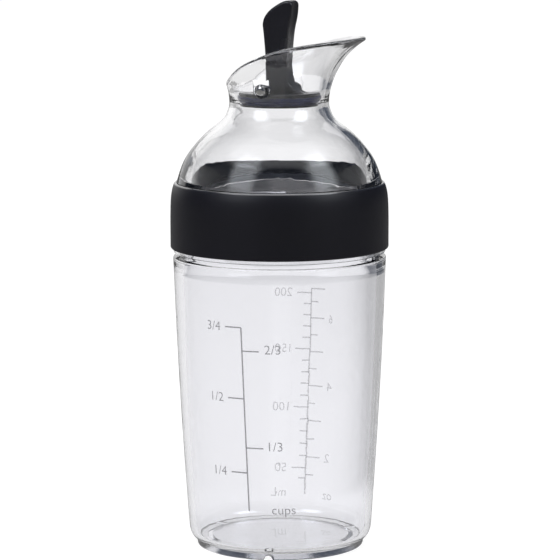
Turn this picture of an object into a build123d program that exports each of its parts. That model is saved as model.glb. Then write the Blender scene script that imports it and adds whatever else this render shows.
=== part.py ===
from build123d import *
import math
import os

os.makedirs("parts", exist_ok=True)

# All lengths are millimetres. The bottle stands on z = 0 about the Z axis and pours towards +X.
# Each table of shares lists points as (across, up), from 0 at the outline's start to 1 at its end.

# Container: a clear tumbler with a thick base on a foot ring, a shoulder and a plain neck.
foot_inset = 2.85
foot_ring_width = 2.9
foot_edge_width = 0.15
foot_edge_height = 0.3
base_recess_height = 1.6
corner_low_width = 0.4
corner_low_height = 2.0
corner_top_height = 6.4
body_low_radius = 29.8
body_top_radius = 34.5
body_belly = 0.45
wall_low_height = 8.0
wall_low_thickness = 2.0
wall_top_height = 90.0
wall_top_thickness = 3.2
floor_height = 3.4
floor_round_reach = 2.6
shoulder_height = 95.0
shoulder_round = 0.5
shoulder_step = 2.2
neck_length = 15.5
neck_wall = 2.0
neck_blend_height = 2.5
drain_count = 3
drain_radius = 1.5
drain_first_angle = -77.4

# Gasket: a flat silicone ring between the container's rim and the dome's flange.
gasket_inset = 0.2
gasket_overhang = 0.4
gasket_thickness = 1.8
gasket_round = 0.4

# Collar: the matte band that sits on the lid's skirt and hides the screw thread.
collar_wall = 1.15
collar_lip_land = 0.4
collar_edge_round = 0.5
collar_lip_thickness = 3.3
collar_clearance = 0.2
collar_outline_shares = (
    (0.0, 0.0),
    (0.0, 0.2),
    (0.0, 0.43),
    (0.06, 0.65),
    (0.25, 0.83),
    (0.56, 0.935),
    (0.84, 0.985),
    (1.0, 1.0),
)

# Dome lid: skirt round the thread, flange, clear dome, narrow neck and a trumpet flare.
skirt_gap = 1.6
skirt_clearance = 0.7
skirt_wall = 1.0
skirt_lip_width = 0.3
skirt_lip_height = 1.2
flange_thickness = 3.4
flange_ledge = 0.85
dome_base_rise = 0.3
dome_height = 25.5
dome_bore_step = 1.4
dome_neck_wall = 2.1
dome_outer_shares = (
    (0.0, 0.0),
    (0.067, 0.145),
    (0.159, 0.286),
    (0.293, 0.416),
    (0.447, 0.537),
    (0.569, 0.616),
    (0.716, 0.694),
    (0.857, 0.771),
    (0.94, 0.847),
    (0.985, 0.929),
    (1.0, 1.0),
)
dome_inner_shares = (
    (0.0, 0.0),
    (0.037, 0.139),
    (0.094, 0.275),
    (0.234, 0.418),
    (0.395, 0.534),
    (0.595, 0.637),
    (0.783, 0.723),
    (0.91, 0.819),
    (0.977, 0.916),
    (1.0, 1.0),
)
flare_spread = 17.1
flare_height = 22.5
flare_outer_shares = (
    (0.0, 0.0),
    (0.026, 0.173),
    (0.094, 0.342),
    (0.205, 0.516),
    (0.363, 0.689),
    (0.62, 0.858),
    (1.0, 1.0),
)
flare_lip_width = 2.0
flare_lip_rise = 1.1
flare_inner_shares = (
    (0.0, 0.0),
    (0.042, 0.119),
    (0.085, 0.297),
    (0.142, 0.424),
    (0.233, 0.551),
    (0.353, 0.678),
    (0.517, 0.797),
    (0.728, 0.903),
    (1.0, 1.0),
)
seat_depth = 0.4
seat_rise = 0.2
seat_clearance = 0.25

# Spout rim: the flare is cut by one curve drawn from the low back to the pouring tip.
rim_back_overhang = 1.5
rim_tip_inset = 3.0
rim_back_rise = 4.9
rim_tip_rise = 21.5
rim_shares = (
    (0.0, 0.0),
    (0.1, 0.205),
    (0.247, 0.483),
    (0.353, 0.62),
    (0.462, 0.741),
    (0.56, 0.825),
    (0.694, 0.903),
    (0.826, 0.957),
    (1.0, 1.0),
)
rim_round = 0.7
cutter_margin = 18.0

# Hinge: a steel pin along Y, carried by two channels in the spout's wall.
hinge_rise = 5.0
pin_radius = 1.7
pin_overhang = 1.0
pin_head_round = 1.1
pin_wall_clearance = 0.06
pin_lever_clearance = 0.02
trunnion_radius = 2.3
trunnion_inset = 0.7
channel_clearance = 0.3
channel_end_clearance = 0.35
channel_depth = 3.0

# Stopper disc with its core and retaining lip, all measured down from the hinge.
disc_radius = 13.1
disc_drop = 1.4
disc_thickness = 1.3
disc_edge_round = 0.3
core_inset = 1.7
retainer_inset = 0.5
retainer_thickness = 0.7
disc_recess_inset = 1.8
disc_recess_depth = 1.1

# Stopper seal: a silicone ring held between the disc and its retaining lip.
seal_overhang = 0.6
seal_thickness = 2.4
seal_bulge = 0.25
seal_gap = 0.05

# Lever: thumb blade and stalk with a front gusset that spreads onto the disc.
lever_height = 30.5
blade_half_depth = 5.0
blade_width = 6.8
blade_round = 0.8
blade_back_shares = (
    (-0.7, 0.023),
    (-0.7, 0.292),
    (-0.9, 0.718),
)
blade_front_shares = (
    (-0.9, 0.718),
    (-0.84, 0.803),
    (-0.54, 0.879),
    (-0.04, 0.944),
    (0.44, 0.987),
    (0.82, 1.0),
    (1.08, 0.977),
    (1.15, 0.921),
    (0.93, 0.718),
    (0.77, 0.505),
    (0.71, 0.341),
    (0.76, 0.243),
    (1.0, 0.148),
    (1.48, 0.075),
    (2.12, 0.036),
)
scoop_radius = 7.5
scoop_depth = 0.9
scoop_high_shares = (1.15, 0.921)
scoop_low_shares = (0.77, 0.505)

# Heights and radii that follow from the sizes above.
foot_outer_radius = body_low_radius - foot_inset
foot_inner_radius = foot_outer_radius - foot_ring_width
rim_height = shoulder_height + neck_length
neck_outer_radius = body_top_radius - shoulder_step
neck_inner_radius = neck_outer_radius - neck_wall
flange_bottom = rim_height + gasket_thickness
flange_top = flange_bottom + flange_thickness
skirt_bottom = shoulder_height + skirt_gap
skirt_inner_radius = neck_outer_radius + skirt_clearance
skirt_radius = skirt_inner_radius + skirt_wall
collar_bottom = skirt_bottom + skirt_lip_height
collar_top = flange_top + collar_lip_thickness
collar_bore_radius = skirt_radius + collar_clearance
collar_radius = collar_bore_radius + collar_wall
dome_base_radius = skirt_radius - flange_ledge
collar_lip_radius = dome_base_radius + collar_clearance
collar_top_radius = collar_lip_radius + collar_lip_land
dome_bore_radius = neck_inner_radius - dome_bore_step
dome_base_height = collar_top + dome_base_rise
dome_neck_height = dome_base_height + dome_height
seal_radius = disc_radius + seal_overhang
core_radius = disc_radius - core_inset
retainer_radius = disc_radius - retainer_inset
disc_recess_radius = core_radius - disc_recess_inset
seat_radius = seal_radius + seat_clearance
dome_neck_radius = seat_radius + dome_neck_wall
flare_radius = dome_neck_radius + flare_spread
rim_back_reach = dome_neck_radius + rim_back_overhang
rim_tip_reach = flare_radius - rim_tip_inset
pin_reach = dome_neck_radius + pin_overhang
trunnion_reach = dome_neck_radius - trunnion_inset
seat_top = dome_neck_height + seat_rise
hinge_height = dome_neck_height + hinge_rise
disc_top = hinge_height - disc_drop
disc_bottom = disc_top - disc_thickness
retainer_top = disc_bottom - seal_thickness - 2 * seal_gap
retainer_bottom = retainer_top - retainer_thickness


def turned(outline):
    """Return the solid that a closed outline in the XZ half plane sweeps about Z."""
    return revolve(Plane.XZ * make_face(outline), Axis.Z)


def side_extrusion(outline, half_width):
    """Return an outline in the XZ plane thickened evenly to both sides along Y."""
    return extrude(Plane.XZ * make_face(outline), half_width, both=True)


def shared(start, end, shares):
    """Return points at shares of the way from a start to an end, across and up."""
    across = end[0] - start[0]
    up = end[1] - start[1]
    return [(start[0] + across * a, start[1] + up * u) for a, u in shares]


def bellied(low, high):
    """Return an arc between two wall points, pushed outwards halfway."""
    middle = ((low[0] + high[0]) / 2 + body_belly, (low[1] + high[1]) / 2)
    return ThreePointArc(low, middle, high)


def cylinder_along_y(radius, low, high):
    """Return a cylinder about the hinge's axis between two reaches along Y."""
    length = high - low
    centre = Location((0, low + length / 2, hinge_height), (90, 0, 0))
    return centre * Cylinder(radius, length)


def container():
    """Return the clear tumbler with its foot ring, shoulder and neck."""
    corner_low = (foot_outer_radius + corner_low_width, corner_low_height)
    corner_top = (body_low_radius, corner_top_height)
    body_top = (body_top_radius, shoulder_height - shoulder_round)
    shoulder_end = (body_top_radius - shoulder_round, shoulder_height)
    inner_top = (body_top_radius - wall_top_thickness, wall_top_height)
    neck_blend = (neck_inner_radius, shoulder_height + neck_blend_height)
    rise = (wall_low_height - corner_top_height) / (body_top[1] - corner_top_height)
    outer_low = body_low_radius + (body_top_radius - body_low_radius) * rise
    inner_low = (outer_low - wall_low_thickness, wall_low_height)
    floor_edge = (inner_low[0] - floor_round_reach, floor_height)
    foot = Polyline(
        (0, floor_height),
        (0, base_recess_height),
        (foot_inner_radius - base_recess_height, base_recess_height),
        (foot_inner_radius, 0),
        (foot_outer_radius, 0),
        (foot_outer_radius + foot_edge_width, foot_edge_height),
        corner_low,
    )
    corner = Spline(corner_low, corner_top, tangents=((1, 0.5), (0.08, 1)))
    wall = bellied(corner_top, body_top)
    shoulder = RadiusArc(body_top, shoulder_end, -shoulder_round)
    neck = Polyline(
        shoulder_end,
        (neck_outer_radius, shoulder_height),
        (neck_outer_radius, rim_height),
        (neck_inner_radius, rim_height),
        neck_blend,
    )
    blend = Spline(neck_blend, inner_top, tangents=((0, -1), (0, -1)))
    inside = bellied(inner_low, inner_top)
    hollow = Spline(inner_low, floor_edge, tangents=((-0.08, -1), (-1, 0)))
    floor = Line(floor_edge, (0, floor_height))
    outline = foot + corner + wall + shoulder + neck + blend + inside + hollow + floor
    solid = turned(outline)
    for number in range(drain_count):
        drain = Cylinder(drain_radius, foot_outer_radius)
        drain = Location((foot_outer_radius, 0, 0), (0, 90, 0)) * drain
        solid -= Rot(0, 0, drain_first_angle + number * 360 / drain_count) * drain
    return solid


def lid_gasket():
    """Return the flat ring that seals the container's rim."""
    inner_radius = neck_inner_radius + gasket_inset
    width = neck_outer_radius + gasket_overhang - inner_radius
    section = RectangleRounded(width, gasket_thickness, gasket_round)
    section = Pos(inner_radius + width / 2, rim_height + gasket_thickness / 2) * section
    return revolve(Plane.XZ * section, Axis.Z)


def dome_lid():
    """Return the clear dome with its skirt, neck, cut flare and hinge channels."""
    base_start = (dome_base_radius, dome_base_height)
    neck = (dome_neck_radius, dome_neck_height)
    bore_top = (dome_bore_radius, dome_base_height)
    seat_low = (seat_radius, dome_neck_height - seat_depth)
    seat_high = (seat_radius, seat_top)
    flare_end = (flare_radius, dome_neck_height + flare_height)
    throat_end = (flare_radius - flare_lip_width, flare_end[1] + flare_lip_rise)
    base = Polyline(
        bore_top,
        (dome_bore_radius, flange_bottom),
        (skirt_inner_radius, flange_bottom),
        (skirt_inner_radius, skirt_bottom),
        (skirt_radius + skirt_lip_width, skirt_bottom),
        (skirt_radius + skirt_lip_width, collar_bottom),
        (skirt_radius, collar_bottom),
        (skirt_radius, flange_top),
        (dome_base_radius, flange_top),
        base_start,
    )
    dome = Spline(
        *shared(base_start, neck, dome_outer_shares), tangents=((-0.25, 1), (0, 1))
    )
    flare = Spline(
        *shared(neck, flare_end, flare_outer_shares), tangents=((0, 1), (1, 0.4))
    )
    top = Line(flare_end, throat_end)
    throat = Spline(*shared(seat_high, throat_end, flare_inner_shares))
    seat = Line(seat_high, seat_low)
    inside = Spline(
        *shared(bore_top, seat_low, dome_inner_shares), tangents=((-0.1, 1), (0, 1))
    )
    solid = turned(base + dome + flare + top + throat + seat + inside)
    solid = round_rim(solid - rim_cutter())
    for side in (-1, 1):
        solid -= hinge_channel(side)
    return solid - cylinder_along_y(
        pin_radius + pin_wall_clearance, -rim_tip_reach, rim_tip_reach
    )


def rim_cutter():
    """Return the solid above the rim's curve, wide enough to cut the whole flare."""
    low = (-rim_back_reach, dome_neck_height + rim_back_rise)
    high = (rim_tip_reach, dome_neck_height + rim_tip_rise)
    ceiling = high[1] + cutter_margin
    far_back = (low[0] - cutter_margin, low[1] - cutter_margin)
    far_tip = (high[0] + cutter_margin, high[1] + rim_round)
    curve = Spline(*shared(low, high, rim_shares))
    frame = Polyline(
        high,
        far_tip,
        (far_tip[0], ceiling),
        (far_back[0], ceiling),
        far_back,
        low,
    )
    return side_extrusion(curve + frame, rim_tip_reach + cutter_margin)


def round_rim(solid):
    """Return the dome lid with both edges of the cut rim rounded to a lip."""
    low = dome_neck_height + rim_tip_rise / 2
    edges = [
        edge
        for edge in solid.edges()
        if edge.bounding_box().max.Z > low > edge.bounding_box().min.Z
    ]
    return fillet(edges, rim_round)


def hinge_channel(side):
    """Return the cutter of one channel, open upwards, on the side given by its sign."""
    radius = trunnion_radius + channel_clearance
    reach = trunnion_reach + channel_end_clearance
    low, high = sorted((side * (reach - channel_depth), side * reach))
    height = rim_back_rise + trunnion_radius
    middle = Pos(0, (low + high) / 2, hinge_height + height / 2)
    return cylinder_along_y(radius, low, high) + middle * Box(
        2 * radius, high - low, height
    )


def lever():
    """Return the lever: blade, stalk and gusset on the stopper disc, with trunnions."""
    blade = round_blade(blade_solid()) - thumb_scoop()
    disc = turned(stopper_outline())
    barrel = cylinder_along_y(trunnion_radius, -trunnion_reach, trunnion_reach)
    bore = cylinder_along_y(
        pin_radius + pin_lever_clearance, -rim_tip_reach, rim_tip_reach
    )
    return blade + disc + barrel - bore


def blade_points(shares):
    """Return the blade's outline points from shares of its half depth and height."""
    return [
        (blade_half_depth * a, disc_bottom + lever_height * u) for a, u in shares
    ]


def blade_solid():
    """Return the blade and stalk as one side outline of even width."""
    back = blade_points(blade_back_shares)
    front = blade_points(blade_front_shares)
    foot = Polyline(front[-1], (0, disc_bottom), back[0])
    return side_extrusion(Spline(*back) + Spline(*front) + foot, blade_width / 2)


def round_blade(blade):
    """Return the blade with the long edges of its two side faces rounded."""
    side = blade_width / 2 - blade_round
    low = disc_top + blade_round
    edges = [
        edge
        for edge in blade.edges()
        if abs(edge.center().Y) > side and edge.center().Z > low
    ]
    return fillet(edges, blade_round)


def thumb_scoop():
    """Return the cutter of the hollow in the blade's front, fading out downwards."""
    high, foot = blade_points((scoop_high_shares, scoop_low_shares))
    top = (high[0] - scoop_depth, high[1])
    tilt = math.degrees(math.atan2(top[0] - foot[0], top[1] - foot[1]))
    middle = ((top[0] + foot[0]) / 2 + scoop_radius, (top[1] + foot[1]) / 2)
    cutter = Cylinder(scoop_radius, 2 * (top[1] - foot[1]))
    return Location((middle[0], 0, middle[1]), (0, tilt, 0)) * cutter


def stopper_outline():
    """Return the half outline of the stopper disc with its core and retaining lip."""
    recess_top = retainer_bottom + disc_recess_depth
    return Polyline(
        (0, disc_top),
        (disc_radius - disc_edge_round, disc_top),
        (disc_radius, disc_top - disc_edge_round),
        (disc_radius, disc_bottom),
        (core_radius, disc_bottom),
        (core_radius, retainer_top),
        (retainer_radius, retainer_top),
        (retainer_radius, retainer_bottom),
        (disc_recess_radius, retainer_bottom),
        (disc_recess_radius, recess_top),
        (0, recess_top),
        (0, disc_top),
    )


def stopper_seal():
    """Return the seal ring with its bulged edge."""
    low = retainer_top + seal_gap
    high = disc_bottom - seal_gap
    third = (high - low) / 3
    inner = core_radius + seal_gap
    outline = Polyline(
        (inner, low),
        (seal_radius - seal_bulge, low),
        (seal_radius, low + third),
        (seal_radius, high - third),
        (seal_radius - seal_bulge, high),
        (inner, high),
        (inner, low),
    )
    return turned(outline)


def hinge_pin():
    """Return the steel pin with a domed head at each end."""
    pin = cylinder_along_y(pin_radius, -pin_reach, pin_reach)
    ends = pin.edges().filter_by(GeomType.CIRCLE)
    return fillet(ends, pin_head_round)


def collar():
    """Return the band with its lip over the flange and its bore round the skirt."""
    foot = (collar_radius - collar_edge_round, collar_bottom)
    start = (collar_radius, collar_bottom + collar_edge_round)
    end = (collar_top_radius, collar_top)
    outer = shared(start, end, collar_outline_shares)
    edge = RadiusArc(foot, start, -collar_edge_round)
    inside = Polyline(
        outer[-1],
        (collar_lip_radius, collar_top),
        (collar_lip_radius, flange_top),
        (collar_bore_radius, flange_top),
        (collar_bore_radius, collar_bottom),
        foot,
    )
    return turned(Spline(*outer) + inside + edge)


PIECES = {
    "container": container,
    "lid_gasket": lid_gasket,
    "dome_lid": dome_lid,
    "collar": collar,
    "lever": lever,
    "stopper_seal": stopper_seal,
    "hinge_pin": hinge_pin,
}

for name, build in PIECES.items():
    piece = build()
    export_step(piece, f"parts/{name}.step")
    print(name, round(piece.volume))
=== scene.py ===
"""The looks of a salad dressing shaker bottle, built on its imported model.

The bottle stands on z = 0 about the Z axis and pours towards +X. All lengths are metres.
"""

import logging
import math
from dataclasses import dataclass
from enum import Enum
from typing import Any

import bmesh
import bpy
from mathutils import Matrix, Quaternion, Vector


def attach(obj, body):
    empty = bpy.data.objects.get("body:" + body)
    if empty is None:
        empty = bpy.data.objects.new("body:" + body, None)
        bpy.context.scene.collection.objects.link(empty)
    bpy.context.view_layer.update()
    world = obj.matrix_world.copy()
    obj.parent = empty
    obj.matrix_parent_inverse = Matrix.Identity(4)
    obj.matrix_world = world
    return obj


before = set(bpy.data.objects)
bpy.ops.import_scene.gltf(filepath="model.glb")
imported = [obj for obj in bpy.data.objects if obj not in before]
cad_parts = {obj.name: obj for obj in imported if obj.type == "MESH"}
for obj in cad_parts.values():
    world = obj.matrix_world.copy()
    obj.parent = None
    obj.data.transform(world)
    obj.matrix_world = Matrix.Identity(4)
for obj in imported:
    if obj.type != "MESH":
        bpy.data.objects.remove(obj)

log = logging.getLogger("bottle")

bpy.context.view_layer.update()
MM = 0.001
PHOTO_SIDE = 560

Colour = tuple[float, float, float]
Point = tuple[float, float, float]


class Body(Enum):
    """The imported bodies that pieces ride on."""

    CONTAINER = "container"
    GASKET = "gasket"
    LID = "lid"
    LEVER = "lever"


class Side(Enum):
    """The side of a scale's upright line that a mark stands on, seen from outside."""

    LEFT = -1
    RIGHT = 1


class Value:
    """A shader socket that Python's operators work on.

    Args:
        shader: The shader whose tree holds the socket.
        socket: The output socket that carries the value.
    """

    def __init__(self, shader: "Shader", socket: bpy.types.NodeSocket) -> None:
        self.shader = shader
        self.socket = socket

    def _math(self, operation: str, first: Any, second: Any) -> "Value":
        """Return the result of a Math node on two values or numbers."""
        return self.shader.node(
            "ShaderNodeMath", {"operation": operation}, {0: first, 1: second}
        )

    def __add__(self, other: Any) -> "Value":
        """Return self + other."""
        return self._math("ADD", self, other)

    def __radd__(self, other: Any) -> "Value":
        """Return other + self."""
        return self._math("ADD", other, self)

    def __sub__(self, other: Any) -> "Value":
        """Return self - other."""
        return self._math("SUBTRACT", self, other)

    def __rsub__(self, other: Any) -> "Value":
        """Return other - self."""
        return self._math("SUBTRACT", other, self)

    def __mul__(self, other: Any) -> "Value":
        """Return self * other."""
        return self._math("MULTIPLY", self, other)

    def __rmul__(self, other: Any) -> "Value":
        """Return other * self."""
        return self._math("MULTIPLY", other, self)

    def __truediv__(self, other: Any) -> "Value":
        """Return self / other."""
        return self._math("DIVIDE", self, other)

    def __rtruediv__(self, other: Any) -> "Value":
        """Return other / self."""
        return self._math("DIVIDE", other, self)

    def size(self) -> "Value":
        """Return self without its sign."""
        return self._math("ABSOLUTE", self, 0.0)

    def at_least(self, other: Any) -> "Value":
        """Return the larger of self and other."""
        return self._math("MAXIMUM", self, other)


def toward(turn: float) -> Vector:
    """Return the level direction at an azimuth in degrees, where 0 is -Y and 90 is +X."""
    angle = math.radians(turn)
    return Vector((math.sin(angle), -math.cos(angle), 0.0))


class Shader:
    """A material or world and the one method that adds its nodes.

    Args:
        owner: The material or world whose node tree is filled.
        output: The type of its output node.
    """

    def __init__(self, owner: Any, output: str = "ShaderNodeOutputMaterial") -> None:
        owner.use_nodes = True
        self.tree = owner.node_tree
        self.tree.nodes.clear()
        self.output = self.tree.nodes.new(output)

    def node(
        self, kind: str, settings: dict[str, Any], inputs: dict[Any, Any], out: Any = 0
    ) -> Value:
        """Add one node.

        Args:
            kind: The node's type.
            settings: Its properties, set before its sockets.
            inputs: Values or links by socket name or number.
            out: The output socket that the result reads.

        Returns:
            The chosen output as a value.
        """
        made = self.tree.nodes.new(kind)
        for name, setting in settings.items():
            setattr(made, name, setting)
        for name, given in inputs.items():
            if isinstance(given, Value):
                self.tree.links.new(given.socket, made.inputs[name])
            else:
                made.inputs[name].default_value = given
        return Value(self, made.outputs[out])

    def place(self) -> Value:
        """Return the object coordinates of the shaded point."""
        return self.node("ShaderNodeTexCoord", {}, {}, "Object")

    def stretched(self, scale: Point) -> Value:
        """Return the object coordinates scaled along each axis."""
        return self.vector("MULTIPLY", self.place(), scale)

    def noise(self, scale: float, detail: float = 2.0, at: Value | None = None) -> Value:
        """Return a noise from 0 to 1.

        Args:
            scale: Its cells per metre.
            detail: Its octaves.
            at: Where it is read, or the object coordinates.
        """
        return self.node(
            "ShaderNodeTexNoise",
            {},
            {"Vector": at or self.place(), "Scale": scale, "Detail": detail},
        )

    def spread(self, value: Value, low: float, high: float) -> Value:
        """Return a value from 0 to 1 spread between two limits."""
        return value * (high - low) + low

    def blend(self, factor: Value, first: Any, second: Any) -> Value:
        """Return two numbers mixed by a factor."""
        inputs = {0: factor, 2: first, 3: second}
        return self.node("ShaderNodeMix", {"data_type": "FLOAT"}, inputs)

    def facing(self, way: Value, turn: float) -> Value:
        """Return the cosine of the level angle between a direction and an azimuth.

        Args:
            way: The direction, whose height is left out.
            turn: The azimuth in degrees, where 0 is -Y and 90 is +X.
        """
        level = self.vector("MULTIPLY", way, (1.0, 1.0, 0.0))
        aim = tuple(toward(turn))
        return self.vector("DOT_PRODUCT", self.vector("NORMALIZE", level), aim, "Value")

    def vector(
        self, operation: str, first: Any, second: Any = (0.0, 0.0, 0.0), out: Any = 0
    ) -> Value:
        """Return the result of a Vector Math node.

        Args:
            operation: What the node does.
            first: Its first vector.
            second: Its second vector, if it takes one.
            out: The output socket that is read.
        """
        inputs = {0: first, 1: second}
        return self.node("ShaderNodeVectorMath", {"operation": operation}, inputs, out)

    def height(self, at: Value | None = None) -> Value:
        """Return the Z share of a vector, or of the object coordinates by default."""
        return self.node("ShaderNodeSeparateXYZ", {}, {0: at or self.place()}, "Z")

    def eased(self, value: Value, start: float, end: float) -> Value:
        """Return 0 below start, 1 above end and a smooth ramp between."""
        return self.node(
            "ShaderNodeMapRange",
            {"interpolation_type": "SMOOTHSTEP"},
            {"Value": value, "From Min": start, "From Max": end},
        )

    def mixed(self, factor: Any, first: Any, second: Any) -> Value:
        """Return two colours mixed by a factor."""
        pair = [given if isinstance(given, Value) else (*given, 1.0) for given in (first, second)]
        return self.node(
            "ShaderNodeMix",
            {"data_type": "RGBA"},
            {"Factor": factor, 6: pair[0], 7: pair[1]},
            2,
        )

    def bump(self, height: Value, strength: float, distance: float) -> Value:
        """Return a normal raised by a height in metres."""
        return self.node(
            "ShaderNodeBump",
            {},
            {"Height": height, "Strength": strength, "Distance": distance},
        )

    def surface(self, **sockets: Any) -> None:
        """End the tree in a Principled shader with these sockets."""
        named = {name.replace("_", " "): given for name, given in sockets.items()}
        self.end(self.node("ShaderNodeBsdfPrincipled", {}, named))

    def end(self, shown: Value) -> None:
        """Link a shader to the tree's output."""
        self.tree.links.new(shown.socket, self.output.inputs["Surface"])


@dataclass(frozen=True)
class ClearPlastic:
    """Polished clear plastic with a faint cool tint and moulding ripples.

    Frost is the roughness that the underside within the foot has beyond the rest.
    """

    name: str
    tint: Colour = (0.943, 0.943, 0.965)
    thin_tint: Colour = (0.952, 0.952, 0.974)
    ior: float = 1.5
    rough_low: float = 0.0
    rough_high: float = 0.03
    frost: float = 0.0
    frost_height: float = 1.9 * MM
    frost_radius: float = 26.5 * MM
    frost_edge: float = 0.4 * MM
    ripple_scale: float = 35.0
    ripple_height: float = 0.01 * MM
    ripple_strength: float = 0.02

    def make(self) -> bpy.types.Material:
        """Return the material."""
        material = bpy.data.materials.new(self.name)
        shader = Shader(material)
        clouds = shader.noise(self.ripple_scale)
        rough = shader.spread(clouds, self.rough_low, self.rough_high)
        if self.frost:
            rough = rough + self.under(shader) * self.frost
        shader.surface(
            Base_Color=shader.mixed(clouds, self.tint, self.thin_tint),
            Roughness=rough,
            IOR=self.ior,
            Transmission_Weight=1.0,
            Normal=shader.bump(clouds, self.ripple_strength, self.ripple_height),
        )
        return material

    def under(self, shader: Shader) -> Value:
        """Return 1 on the frosted underside within the foot and 0 elsewhere."""
        height = shader.height()
        level = shader.stretched((1.0, 1.0, 0.0))
        radius = shader.vector("LENGTH", level, out="Value")
        inside = shader.eased(self.frost_radius - radius, 0.0, self.frost_edge)
        return shader.eased(self.frost_height - height, 0.0, self.frost_edge) * inside


@dataclass(frozen=True)
class MouldedPlastic:
    """Opaque moulded plastic with a fine grain and, if asked for, a polished top edge."""

    name: str
    colour: Colour
    worn_colour: Colour
    roughness: float
    grain_scale: float = 6000.0
    grain_height: float = 0.01 * MM
    grain_strength: float = 0.3
    cloud_share: float = 1.0 / 80.0
    rough_below: float = 0.03
    rough_above: float = 0.04
    specular: float = 0.5
    edge_depth: float = 0.5 * MM
    edge_fade: float = 0.3 * MM
    edge_roughness: float = 0.08
    edge_ior: float = 2.3

    def make(self, top: float = math.inf) -> bpy.types.Material:
        """Return the material.

        Args:
            top: The height of a polished top edge, or none by default.
        """
        material = bpy.data.materials.new(self.name)
        shader = Shader(material)
        coat: Any = 0.0
        if top < math.inf:
            start = top - self.edge_depth
            coat = shader.eased(shader.height(), start, start + self.edge_fade)
        grain = shader.noise(self.grain_scale)
        clouds = shader.noise(self.grain_scale * self.cloud_share)
        low, high = self.roughness - self.rough_below, self.roughness + self.rough_above
        shader.surface(
            Base_Color=shader.mixed(clouds, self.colour, self.worn_colour),
            Roughness=shader.spread(clouds, low, high),
            Specular_IOR_Level=self.specular,
            Coat_Weight=coat,
            Coat_Roughness=self.edge_roughness,
            Coat_IOR=self.edge_ior,
            Normal=shader.bump(grain, self.grain_strength, self.grain_height),
        )
        return material


@dataclass(frozen=True)
class Silicone:
    """Soft silicone, opaque or milky, with a satin skin."""

    name: str
    colour: Colour
    deep_colour: Colour
    roughness: float
    transmission: float = 0.0
    ior: float = 1.41
    cloud_scale: float = 300.0
    rough_spread: float = 0.08
    skin_strength: float = 0.2
    skin_height: float = 0.02 * MM

    def make(self) -> bpy.types.Material:
        """Return the material."""
        material = bpy.data.materials.new(self.name)
        shader = Shader(material)
        clouds = shader.noise(self.cloud_scale)
        shader.surface(
            Base_Color=shader.mixed(clouds, self.colour, self.deep_colour),
            Roughness=shader.spread(clouds, self.roughness, self.roughness + self.rough_spread),
            IOR=self.ior,
            Transmission_Weight=self.transmission,
            Normal=shader.bump(clouds, self.skin_strength, self.skin_height),
        )
        return material


@dataclass(frozen=True)
class PolishedSteel:
    """Polished stainless steel with fine turning marks."""

    name: str
    bright: Colour = (0.74, 0.73, 0.71)
    dull: Colour = (0.60, 0.59, 0.58)
    roughness: float = 0.16
    rough_below: float = 0.05
    rough_above: float = 0.06
    mark_scales: Point = (600.0, 3000.0, 600.0)
    mark_detail: float = 3.0
    mark_strength: float = 0.15
    mark_height: float = 0.01 * MM

    def make(self) -> bpy.types.Material:
        """Return the material."""
        material = bpy.data.materials.new(self.name)
        shader = Shader(material)
        marks = shader.noise(1.0, self.mark_detail, shader.stretched(self.mark_scales))
        low, high = self.roughness - self.rough_below, self.roughness + self.rough_above
        shader.surface(
            Base_Color=shader.mixed(marks, self.dull, self.bright),
            Metallic=1.0,
            Roughness=shader.spread(marks, low, high),
            Normal=shader.bump(marks, self.mark_strength, self.mark_height),
        )
        return material


@dataclass(frozen=True)
class PrintInk:
    """Screen-printed ink, slightly uneven in its cover, which is 1 where it is opaque."""

    name: str
    colour: Colour
    thin_colour: Colour
    cover: float
    roughness: float = 0.5
    rough_spread: float = 0.1
    cover_spread: float = 0.06
    speck_scale: float = 2500.0

    def make(self) -> bpy.types.Material:
        """Return the material."""
        material = bpy.data.materials.new(self.name)
        shader = Shader(material)
        specks = shader.noise(self.speck_scale)
        rough, cover = self.roughness, self.cover
        shader.surface(
            Base_Color=shader.mixed(specks, self.colour, self.thin_colour),
            Roughness=shader.spread(specks, rough - self.rough_spread, rough + self.rough_spread),
            Alpha=shader.spread(specks, cover - self.cover_spread, cover + self.cover_spread),
        )
        return material


CLEAR_BODY = ClearPlastic("clear_container", frost=0.09)
CLEAR_LID = ClearPlastic(
    "clear_lid", (0.990, 0.989, 1.0), (0.995, 0.994, 1.0), rough_low=0.015, rough_high=0.05
)
BLACK_MATTE = MouldedPlastic(
    "black_matte_collar", (0.0032, 0.0030, 0.0060), (0.0042, 0.0039, 0.0075), 0.42, specular=0.3
)
BLACK_SATIN = MouldedPlastic(
    "black_satin_lever",
    (0.0040, 0.0040, 0.0072),
    (0.0054, 0.0054, 0.0095),
    0.26,
    grain_strength=0.15,
)
NAVY_SILICONE = Silicone("navy_seal", (0.008, 0.011, 0.050), (0.012, 0.016, 0.070), 0.3)
SMOKY_SILICONE = Silicone(
    "smoky_gasket", (0.16, 0.17, 0.21), (0.12, 0.13, 0.165), 0.35, transmission=0.5
)
PIN_STEEL = PolishedSteel("pin_steel")
GREY_INK = PrintInk("grey_ink", (0.16, 0.16, 0.175), (0.20, 0.20, 0.215), 0.8)
# The far scale's ink is the same grey ink as the near scale's. It is painted lighter and thinner
# in its cover as painted backlight, the light that shines through it from behind.
BACKLIT_PAINTED_INK = PrintInk("backlit_painted_ink", (0.40, 0.40, 0.43), (0.46, 0.46, 0.49), 0.42)


def dress(node: str, finish: bpy.types.Material) -> None:
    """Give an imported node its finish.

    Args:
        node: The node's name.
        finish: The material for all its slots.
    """
    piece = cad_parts[node]
    piece.data.materials.clear()
    piece.data.materials.append(finish)
    log.info("dressed %s", node)


def local_top(node: str) -> float:
    """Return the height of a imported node's top in its own coordinates."""
    return max(corner[2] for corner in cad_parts[node].bound_box)


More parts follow.
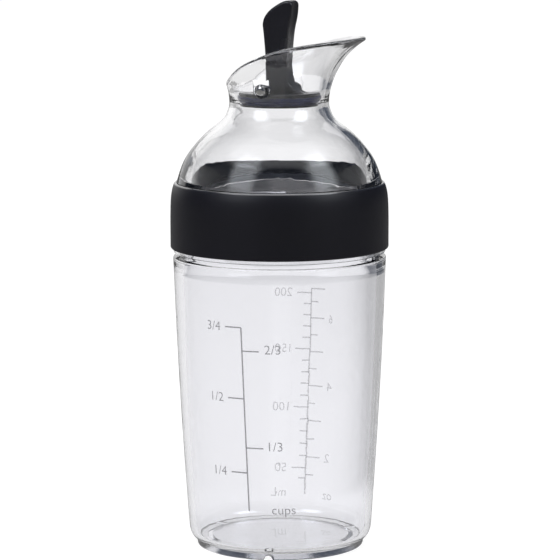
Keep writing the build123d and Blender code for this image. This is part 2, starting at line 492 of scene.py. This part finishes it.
def placed(name: str, made: bmesh.types.BMesh, finish: bpy.types.Material) -> bpy.types.Object:
    """Turn a mesh into an object of the scene.

    Args:
        name: The object's name.
        made: Its mesh, which is freed.
        finish: Its material.

    Returns:
        The object, at the origin.
    """
    mesh = bpy.data.meshes.new(name)
    made.to_mesh(mesh)
    made.free()
    mesh.materials.append(finish)
    thing = bpy.data.objects.new(name, mesh)
    bpy.context.scene.collection.objects.link(thing)
    return thing


def add_piece(
    name: str, made: bmesh.types.BMesh, finish: bpy.types.Material, body: Body
) -> bpy.types.Object:
    """Turn a mesh into a piece that rides on a body.

    Args:
        name: The piece's name.
        made: Its mesh in the frame's coordinates, which is freed.
        finish: Its material.
        body: The body that carries it.

    Returns:
        The piece.
    """
    piece = placed(name, made, finish)
    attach(piece, body.value)
    log.info("built %s on %s", name, body.value)
    return piece


@dataclass(frozen=True)
class Mark:
    """One graduation of a printed scale."""

    height: float
    side: Side
    length: float
    label: str = ""


@dataclass
class Scale:
    """A printed scale that wraps round the container's wall.

    The upright line runs from low_height to top_height, and its azimuth changes evenly from
    low_turn to top_turn, in degrees. Marks stand on its two sides, seen from outside the wall.
    A word is its characters, the arc from the line to its middle and its middle's height.
    """

    name: str
    low_height: float
    top_height: float
    low_turn: float
    top_turn: float
    marks: list[Mark]
    words: list[tuple[str, float, float]]
    line_width: float = 0.5 * MM
    mark_width: float = 0.45 * MM
    label_gap: float = 1.8 * MM
    left_lift: float = 0.15 * MM
    right_lift: float = 0.2 * MM
    label_height: float = 3.1 * MM
    label_stretch: float = 1.02
    label_thinning: float = -0.004
    film: float = 0.05 * MM
    step: float = 1.0 * MM
    capital_share: float = 0.73
    curve_steps: int = 4

    def turn_at(self, height: float) -> float:
        """Return the line's azimuth in radians at a height."""
        share = (height - self.low_height) / (self.top_height - self.low_height)
        return math.radians(self.low_turn + (self.top_turn - self.low_turn) * share)

    def wrapped(self, along: float, height: float, wall: "Container") -> Point:
        """Return the point on the wall at an arc from the line and a height."""
        radius = wall.radius_at(height)
        turn = self.turn_at(height) + along / radius
        reach = radius + self.film
        return (reach * math.cos(turn), reach * math.sin(turn), height)

    def strip(
        self,
        made: bmesh.types.BMesh,
        start: tuple[float, float],
        end: tuple[float, float],
        width: float,
        wall: "Container",
    ) -> None:
        """Add a straight printed strip between two points on the unrolled wall.

        Args:
            made: The mesh that it goes into.
            start: Its first point, as arc and height.
            end: Its last point.
            width: Its width.
            wall: The container that it is printed on.
        """
        run = Vector(end) - Vector(start)
        across = Vector((-run.y, run.x)).normalized() * width / 2
        count = max(1, math.ceil(run.length / self.step))
        rows = []
        for index in range(count + 1):
            middle = Vector(start) + run * index / count
            pair = [middle - across, middle + across]
            rows.append([made.verts.new(self.wrapped(p.x, p.y, wall)) for p in pair])
        for (a, b), (c, d) in zip(rows, rows[1:]):
            made.faces.new((a, b, d, c))

    def lettering(
        self,
        made: bmesh.types.BMesh,
        text: str,
        along: float,
        height: float,
        wall: "Container",
        centred: bool = False,
    ) -> None:
        """Add generic lettering, left-aligned at an arc, or right-aligned for a negative one.

        Args:
            made: The mesh that it goes into.
            text: The characters.
            along: The arc of its near edge, or of its middle if centred.
            height: The height of its middle.
            wall: The container that it is printed on.
            centred: Whether along is its middle.
        """
        curve = bpy.data.curves.new(text, "FONT")
        curve.body = text
        curve.size = self.label_height / self.capital_share
        curve.offset = self.label_thinning * curve.size
        curve.resolution_u = self.curve_steps
        holder = bpy.data.objects.new(text, curve)
        bpy.context.scene.collection.objects.link(holder)
        bpy.context.view_layer.update()
        flat = bpy.data.meshes.new_from_object(holder)
        bpy.data.objects.remove(holder)
        bpy.data.curves.remove(curve)
        glyphs = bmesh.new()
        glyphs.from_mesh(flat)
        bpy.data.meshes.remove(flat)
        low = min(v.co.x for v in glyphs.verts)
        high = max(v.co.x for v in glyphs.verts)
        width = (high - low) * self.label_stretch
        shift = along - width / 2 if centred else (along if along > 0 else along - width)
        base = height - self.label_height / 2
        copies = {}
        for vertex in glyphs.verts:
            across = (vertex.co.x - low) * self.label_stretch + shift
            copies[vertex] = made.verts.new(self.wrapped(across, base + vertex.co.y, wall))
        for face in glyphs.faces:
            made.faces.new([copies[v] for v in face.verts])
        glyphs.free()

    def build(self, wall: "Container", finish: bpy.types.Material) -> bpy.types.Object:
        """Build the whole scale as one printed film.

        Args:
            wall: The container that it is printed on.
            finish: The ink.

        Returns:
            The piece.
        """
        made = bmesh.new()
        self.strip(made, (0.0, self.low_height), (0.0, self.top_height), self.line_width, wall)
        for mark in self.marks:
            reach = mark.side.value * mark.length
            self.strip(made, (0.0, mark.height), (reach, mark.height), self.mark_width, wall)
            if mark.label:
                edge = mark.side.value * (mark.length + self.label_gap)
                lift = self.left_lift if mark.side is Side.LEFT else self.right_lift
                self.lettering(made, mark.label, edge, mark.height + lift, wall)
        for text, along, height in self.words:
            self.lettering(made, text, along, height, wall, centred=True)
        return add_piece(self.name, made, finish, Body.CONTAINER)


CUP_MARK = 5.6 * MM
LONG_MARK = 5.3 * MM
SHORT_MARK = 2.8 * MM
CUP = 236.6  # millilitres
OUNCE = 29.57  # millilitres
CUP_PARTS = (
    (3, 4, Side.LEFT),
    (2, 3, Side.RIGHT),
    (1, 2, Side.LEFT),
    (1, 3, Side.RIGHT),
    (1, 4, Side.LEFT),
)
CUP_RAISED = 6.5 * MM
FIRST_MILLILITRES, LAST_MILLILITRES, MILLILITRE_STEP, LABEL_STEP = 40, 200, 10, 50
FIRST_HALF_OUNCE, LAST_HALF_OUNCE = 3, 13
TOP_OUNCES = 6.9
FILL_STEP = 50.0  # millilitres
FIRST_FILL = 18.85 * MM
FILL_RISE = 21.15 * MM
FILL_EASE = 0.44 * MM
CORNER_FILL = 110.0 * MM


def fill_height(millilitres: float) -> float:
    """Return a fill's height, which rises more slowly in the low corner and as the wall widens."""
    steps = millilitres / FILL_STEP - 1.0
    corner = CORNER_FILL * max(0.0, -steps) ** 3
    return FIRST_FILL + FILL_RISE * steps - FILL_EASE * steps * steps + corner


def cup_scale() -> Scale:
    """Return the near scale of parts of a cup."""
    marks = []
    for parts, whole, side in CUP_PARTS:
        height = fill_height(CUP * parts / whole) + CUP_RAISED
        marks.append(Mark(height, side, CUP_MARK, f"{parts}/{whole}"))
    return Scale(
        name="cup_scale",
        low_height=16.6 * MM,
        top_height=marks[0].height,
        low_turn=-87.85,
        top_turn=-90.25,
        marks=marks,
        words=[("cups", 11.2 * MM, 17.4 * MM)],
        right_lift=0.75 * MM,
    )


def volume_scale() -> Scale:
    """Return the far scale, with millilitres on its right and ounces on its left."""
    marks = []
    for millilitres in range(FIRST_MILLILITRES, LAST_MILLILITRES + 1, MILLILITRE_STEP):
        whole = millilitres % LABEL_STEP == 0
        label = str(millilitres) if whole else ""
        length = LONG_MARK if whole else SHORT_MARK
        marks.append(Mark(fill_height(millilitres), Side.RIGHT, length, label))
    for halves in range(FIRST_HALF_OUNCE, LAST_HALF_OUNCE + 1):
        whole = halves % 2 == 0
        label = str(halves // 2) if halves % 4 == 0 else ""
        length = LONG_MARK if whole else SHORT_MARK
        marks.append(Mark(fill_height(OUNCE * halves / 2.0), Side.LEFT, length, label))
    top = fill_height(OUNCE * TOP_OUNCES)
    marks.append(Mark(top, Side.LEFT, LONG_MARK))
    return Scale(
        name="volume_scale",
        low_height=9.9 * MM,
        top_height=top,
        low_turn=94.1,
        top_turn=91.4,
        marks=marks,
        words=[("mL", 9.5 * MM, 10.7 * MM), ("oz", -8.6 * MM, 10.3 * MM)],
    )


@dataclass
class Container:
    """The clear tumbler with its printed scales and the screw thread on its neck."""

    corner_height: float = 6.4 * MM
    shoulder_height: float = 94.5 * MM
    low_radius: float = 29.8 * MM
    top_radius: float = 34.5 * MM
    belly: float = 0.45 * MM
    neck_radius: float = 32.3 * MM
    thread_low: float = 99.3 * MM
    thread_lead: float = 9.0 * MM
    thread_turns: float = 0.9
    thread_gap: float = 0.02 * MM
    thread_depth: float = 0.4 * MM
    thread_width: float = 1.8 * MM
    thread_crest: float = 0.9 * MM
    thread_steps: int = 120
    thread_taper: float = 0.08
    thread_end: float = 0.1
    thread_starts: int = 2

    def radius_at(self, height: float) -> float:
        """Return the wall's outer radius at a height."""
        share = (height - self.corner_height) / (self.shoulder_height - self.corner_height)
        straight = self.low_radius + (self.top_radius - self.low_radius) * share
        return straight + 4.0 * self.belly * share * (1.0 - share)

    def build(self) -> None:
        """Dress the container and add its printed and moulded details."""
        clear = CLEAR_BODY.make()
        dress("container", clear)
        cup_scale().build(self, GREY_INK.make())
        # The far scale gets the lighter ink, which is painted backlight.
        volume_scale().build(self, BACKLIT_PAINTED_INK.make())
        for start in range(self.thread_starts):
            ridge = self.thread(start)
            add_piece(f"thread_{start + 1}", ridge, clear, Body.CONTAINER)

    def thread(self, start: int) -> bmesh.types.BMesh:
        """Return one start of the screw thread on the neck, as a closed ridge.

        Args:
            start: Its number, which spaces the starts evenly round the neck.
        """
        made = bmesh.new()
        rings = []
        foot = self.neck_radius + self.thread_gap
        half, flat = self.thread_width / 2, self.thread_crest / 2
        for step in range(self.thread_steps + 1):
            share = step / self.thread_steps
            turns = share * self.thread_turns / self.thread_starts
            turn = math.tau * (turns + start / self.thread_starts)
            middle = self.thread_low + self.thread_lead * turns
            near_end = min(share, 1.0 - share)
            rise = min(1.0, self.thread_end + near_end / self.thread_taper)
            crest = foot + self.thread_depth * rise
            section = ((foot, -half), (crest, -flat), (crest, flat), (foot, half))
            across, away = math.cos(turn), math.sin(turn)
            places = [(r * across, r * away, middle + z) for r, z in section]
            rings.append([made.verts.new(place) for place in places])
        for low, high in zip(rings, rings[1:]):
            for side, corner in enumerate(low):
                after = (side + 1) % len(low)
                made.faces.new((corner, high[side], high[after], low[after]))
        made.faces.new(rings[0])
        made.faces.new(rings[-1][::-1])
        bmesh.ops.recalc_face_normals(made, faces=made.faces)
        return made


@dataclass
class Lid:
    """The dome lid with its collar and gasket."""

    def build(self) -> None:
        """Dress the lid's pieces."""
        dress("dome_lid", CLEAR_LID.make())
        dress("collar", BLACK_MATTE.make(local_top("collar")))
        dress("lid_gasket", SMOKY_SILICONE.make())


@dataclass
class StopperLever:
    """The lever with its stopper disc, seal and hinge pin."""

    def build(self) -> None:
        """Dress the lever's pieces."""
        dress("lever", BLACK_SATIN.make())
        dress("stopper_seal", NAVY_SILICONE.make())
        dress("hinge_pin", PIN_STEEL.make())


@dataclass(frozen=True)
class Card:
    """A large studio card that stands round the bottle, out of the picture.

    Turn is its azimuth in degrees from the bottle, where 0 is -Y and 90 is +X. Low and top are
    its edges' heights before it leans to face the bottle. Soft is the width of its faded
    edge, and passed says whether it is also seen through clear plastic.
    """

    name: str
    turn: float
    distance: float
    width: float
    low: float
    top: float
    colour: Colour
    level: float
    soft: float
    passed: bool = True
    aim_height: float = 0.11

    def build(self) -> None:
        """Build the card, facing the bottle, with soft edges."""
        height = self.top - self.low
        made = bmesh.new()
        bmesh.ops.create_grid(made, x_segments=1, y_segments=1, size=0.5)
        bmesh.ops.scale(made, vec=(self.width, height, 1.0), verts=made.verts)
        card = placed(self.name, made, self.paint(height))
        middle = Vector((0.0, 0.0, self.low + height / 2))
        card.location = toward(self.turn) * self.distance + middle
        aim = Vector((0.0, 0.0, self.aim_height)) - card.location
        card.rotation_mode = "QUATERNION"
        card.rotation_quaternion = aim.to_track_quat("Z", "Y")
        card.visible_camera = False
        card.visible_diffuse = False
        card.visible_shadow = False
        card.visible_transmission = self.passed

    def paint(self, height: float) -> bpy.types.Material:
        """Return an even glow that fades out towards the card's edges.

        Args:
            height: The card's height.
        """
        material = bpy.data.materials.new(self.name)
        shader = Shader(material)
        cover: Any = 1.0
        for axis, size in (("X", self.width), ("Y", height)):
            across = shader.node("ShaderNodeSeparateXYZ", {}, {0: shader.place()}, axis)
            cover = shader.eased(size / 2 - across.size(), 0.0, self.soft) * cover
        clear = shader.node("ShaderNodeBsdfTransparent", {}, {})
        glow = shader.node(
            "ShaderNodeEmission", {}, {"Color": (*self.colour, 1.0), "Strength": self.level}
        )
        mix = shader.node("ShaderNodeMixShader", {}, {0: cover, 1: clear, 2: glow})
        shader.end(mix)
        return material


@dataclass(frozen=True)
class Lamp:
    """A soft rectangular lamp aimed at the bottle, which nothing shows or mirrors."""

    name: str
    place: Point
    width: float
    height: float
    power: float
    aim_height: float = 0.1

    def build(self) -> None:
        """Hang the lamp."""
        data = bpy.data.lights.new(self.name, "AREA")
        data.shape = "RECTANGLE"
        data.size, data.size_y = self.width, self.height
        data.energy = self.power
        lamp = bpy.data.objects.new(self.name, data)
        bpy.context.scene.collection.objects.link(lamp)
        lamp.location = self.place
        lamp.visible_glossy = False
        lamp.visible_transmission = False
        aim = Vector((0.0, 0.0, self.aim_height)) - Vector(self.place)
        lamp.rotation_mode = "QUATERNION"
        lamp.rotation_quaternion = aim.to_track_quat("-Z", "Y")


STUDIO_CARDS = (
    Card("left_softbox", -27.0, 1.0, 0.85, 0.35, 1.35, (0.90, 0.94, 1.0), 4.2, 0.25),
    Card("ceiling_softbox", 21.0, 0.3, 2.8, 0.7, 2.1, (0.95, 0.96, 1.0), 1.3, 0.4, passed=False),
    Card("right_softbox", 79.0, 1.0, 0.85, 0.35, 1.35, (0.90, 0.95, 1.0), 5.4, 0.3),
)
STUDIO_LAMPS = (
    Lamp("key", (-0.9, -0.7, 0.9), 0.5, 0.7, 9.0),
    Lamp("fill", (1.0, -0.5, 0.5), 0.5, 0.7, 4.0),
    Lamp("top", (0.0, 0.1, 1.3), 0.6, 0.6, 6.0),
)


@dataclass
class Studio:
    """The pale floor, the light and the camera.

    The camera stands at an azimuth and a distance from the bottle and looks down by its
    pitch. Its axis and focal length are in pixels of the photograph. Rays that pass or
    glance off the bottle see a white backdrop that spreads from its turn in degrees, and a
    dim room beside and above it. Through clear plastic the floor is a white sheet under and
    behind the bottle, which fades between two slants, as width over depth, on its right.
    """

    azimuth: float = 21.0
    distance: float = 1.0
    camera_height: float = 0.2384
    pitch: float = 8.62
    focal_pixels: float = 3113.0
    sensor: float = 36.0
    axis_pixel: float = 279.65
    roll: float = -0.15
    near_clip: float = 0.05
    far_clip: float = 20.0
    bounces: int = 24
    glossy_bounces: int = 12
    floor_side: float = 12.0
    floor_paint: Colour = (0.9, 0.9, 0.9)
    floor_share: float = 0.8
    floor_glow: float = 1.14
    passed_floor: float = 0.97
    passed_share: float = 0.7
    dim_floor: float = 0.1
    dim_passed: float = 0.36
    ambient: float = 0.55
    dim_room: Colour = (0.062, 0.074, 0.100)
    backdrop_turn: float = 219.0
    backdrop_spread: float = 26.5
    backdrop_edge: float = 7.0
    backdrop_top: float = 0.45
    backdrop_fade: float = 0.2
    sheet_left: float = -0.6
    sheet_edge: float = 0.06
    sheet_waist: float = 0.15
    sheet_near: float = 0.13
    sheet_start: float = 0.07
    sheet_end: float = 0.28

    def build(self) -> None:
        """Set up everything round the bottle."""
        scene = bpy.context.scene
        scene.view_settings.view_transform = "Standard"
        scene.cycles.max_bounces = self.bounces
        scene.cycles.transmission_bounces = self.bounces
        scene.cycles.glossy_bounces = self.glossy_bounces
        scene.cycles.transparent_max_bounces = self.bounces
        self.light_world()
        self.lay_floor()
        for fitting in (*STUDIO_CARDS, *STUDIO_LAMPS):
            fitting.build()
        self.set_camera()

    def is_ray(self, shader: Shader, kind: str) -> Value:
        """Return 1 for rays of one kind, such as Camera, and 0 for others."""
        return shader.node("ShaderNodeLightPath", {}, {}, f"Is {kind} Ray")

    def backdrop(self, shader: Shader, way: Value) -> Value:
        """Return 1 where a direction meets the white backdrop and 0 in the dim room.

        Args:
            shader: The shader that it goes into.
            way: The direction.
        """
        start = math.cos(math.radians(self.backdrop_spread + self.backdrop_edge))
        end = math.cos(math.radians(self.backdrop_spread))
        over = self.backdrop_top + self.backdrop_fade
        under = shader.eased(over - shader.height(way), 0.0, self.backdrop_fade)
        return shader.eased(shader.facing(way, self.backdrop_turn), start, end) * under

    def sheet(self, shader: Shader) -> Value:
        """Return 1 on the floor's white part, under and behind the bottle, and 0 beside it."""
        turn = math.radians(self.azimuth)
        across = (math.cos(turn), math.sin(turn), 0.0)
        beside = shader.vector("DOT_PRODUCT", shader.place(), across, "Value")
        inward = (-across[1], across[0], 0.0)
        behind = shader.vector("DOT_PRODUCT", shader.place(), inward, "Value")
        slant = beside / (behind.size() + self.sheet_waist)
        near = self.sheet_near - shader.vector("LENGTH", shader.place(), out="Value")
        left = shader.eased(beside - self.sheet_left, 0.0, self.sheet_edge)
        right = shader.eased(self.sheet_end - slant, 0.0, self.sheet_end - self.sheet_start)
        return (right * left).at_least(shader.eased(near, 0.0, self.sheet_edge))

    def light_world(self) -> None:
        """Make a white backdrop, a dim room round it and even soft light."""
        world = bpy.data.worlds.new("studio")
        bpy.context.scene.world = world
        shader = Shader(world, "ShaderNodeOutputWorld")
        way = shader.node("ShaderNodeTexCoord", {}, {}, "Generated")
        white = (1.0, 1.0, 1.0)
        room = shader.mixed(self.backdrop(shader, way), self.dim_room, white)
        unseen = shader.mixed(self.is_ray(shader, "Glossy"), (self.ambient,) * 3, room)
        colour = shader.mixed(self.is_ray(shader, "Camera"), unseen, white)
        light = shader.node("ShaderNodeBackground", {}, {"Color": colour})
        shader.end(light)

    def lay_floor(self) -> None:
        """Lay a large pale floor that keeps the bottle's shadow."""
        made = bmesh.new()
        bmesh.ops.create_grid(made, x_segments=1, y_segments=1, size=self.floor_side / 2)
        material = bpy.data.materials.new("floor_paint")
        shader = Shader(material)
        camera = self.is_ray(shader, "Camera")
        passed = self.is_ray(shader, "Transmission")
        white = shader.spread(self.sheet(shader), self.dim_passed, self.passed_floor)
        strength = (camera * self.floor_glow).at_least(passed * white).at_least(self.dim_floor)
        share = shader.blend(passed, self.floor_share, self.passed_share)
        shown = camera.at_least(self.is_ray(shader, "Glossy")) * share
        paint = shader.node("ShaderNodeBsdfDiffuse", {}, {"Color": (*self.floor_paint, 1.0)})
        glow = shader.node(
            "ShaderNodeEmission", {}, {"Color": (1.0, 1.0, 1.0, 1.0), "Strength": strength}
        )
        mix = shader.node("ShaderNodeMixShader", {}, {0: shown, 1: paint, 2: glow})
        shader.end(mix)
        floor = placed("floor", made, material)

    def set_camera(self) -> None:
        """Place the camera where the photograph was taken from."""
        data = bpy.data.cameras.new("camera")
        data.sensor_width = self.sensor
        data.lens = self.focal_pixels / PHOTO_SIDE * self.sensor
        camera = bpy.data.objects.new("camera", data)
        bpy.context.scene.collection.objects.link(camera)
        back = toward(self.azimuth)
        camera.location = back * self.distance + Vector((0.0, 0.0, self.camera_height))
        yaw = math.atan((self.axis_pixel - PHOTO_SIDE / 2) / self.focal_pixels)
        aim = Quaternion((0.0, 0.0, 1.0), yaw) @ -back
        aim = aim - Vector((0.0, 0.0, math.tan(math.radians(self.pitch))))
        camera.rotation_mode = "QUATERNION"
        tilt = Quaternion((0.0, 0.0, 1.0), math.radians(self.roll))
        camera.rotation_quaternion = aim.to_track_quat("-Z", "Y") @ tilt
        data.clip_start, data.clip_end = self.near_clip, self.far_clip
        bpy.context.scene.camera = camera


def main() -> None:
    """Build the bottle and its studio."""
    logging.basicConfig(level=logging.INFO, format="%(name)s: %(message)s")
    for part in (Container(), Lid(), StopperLever(), Studio()):
        part.build()


if __name__ == "__main__":
    main()
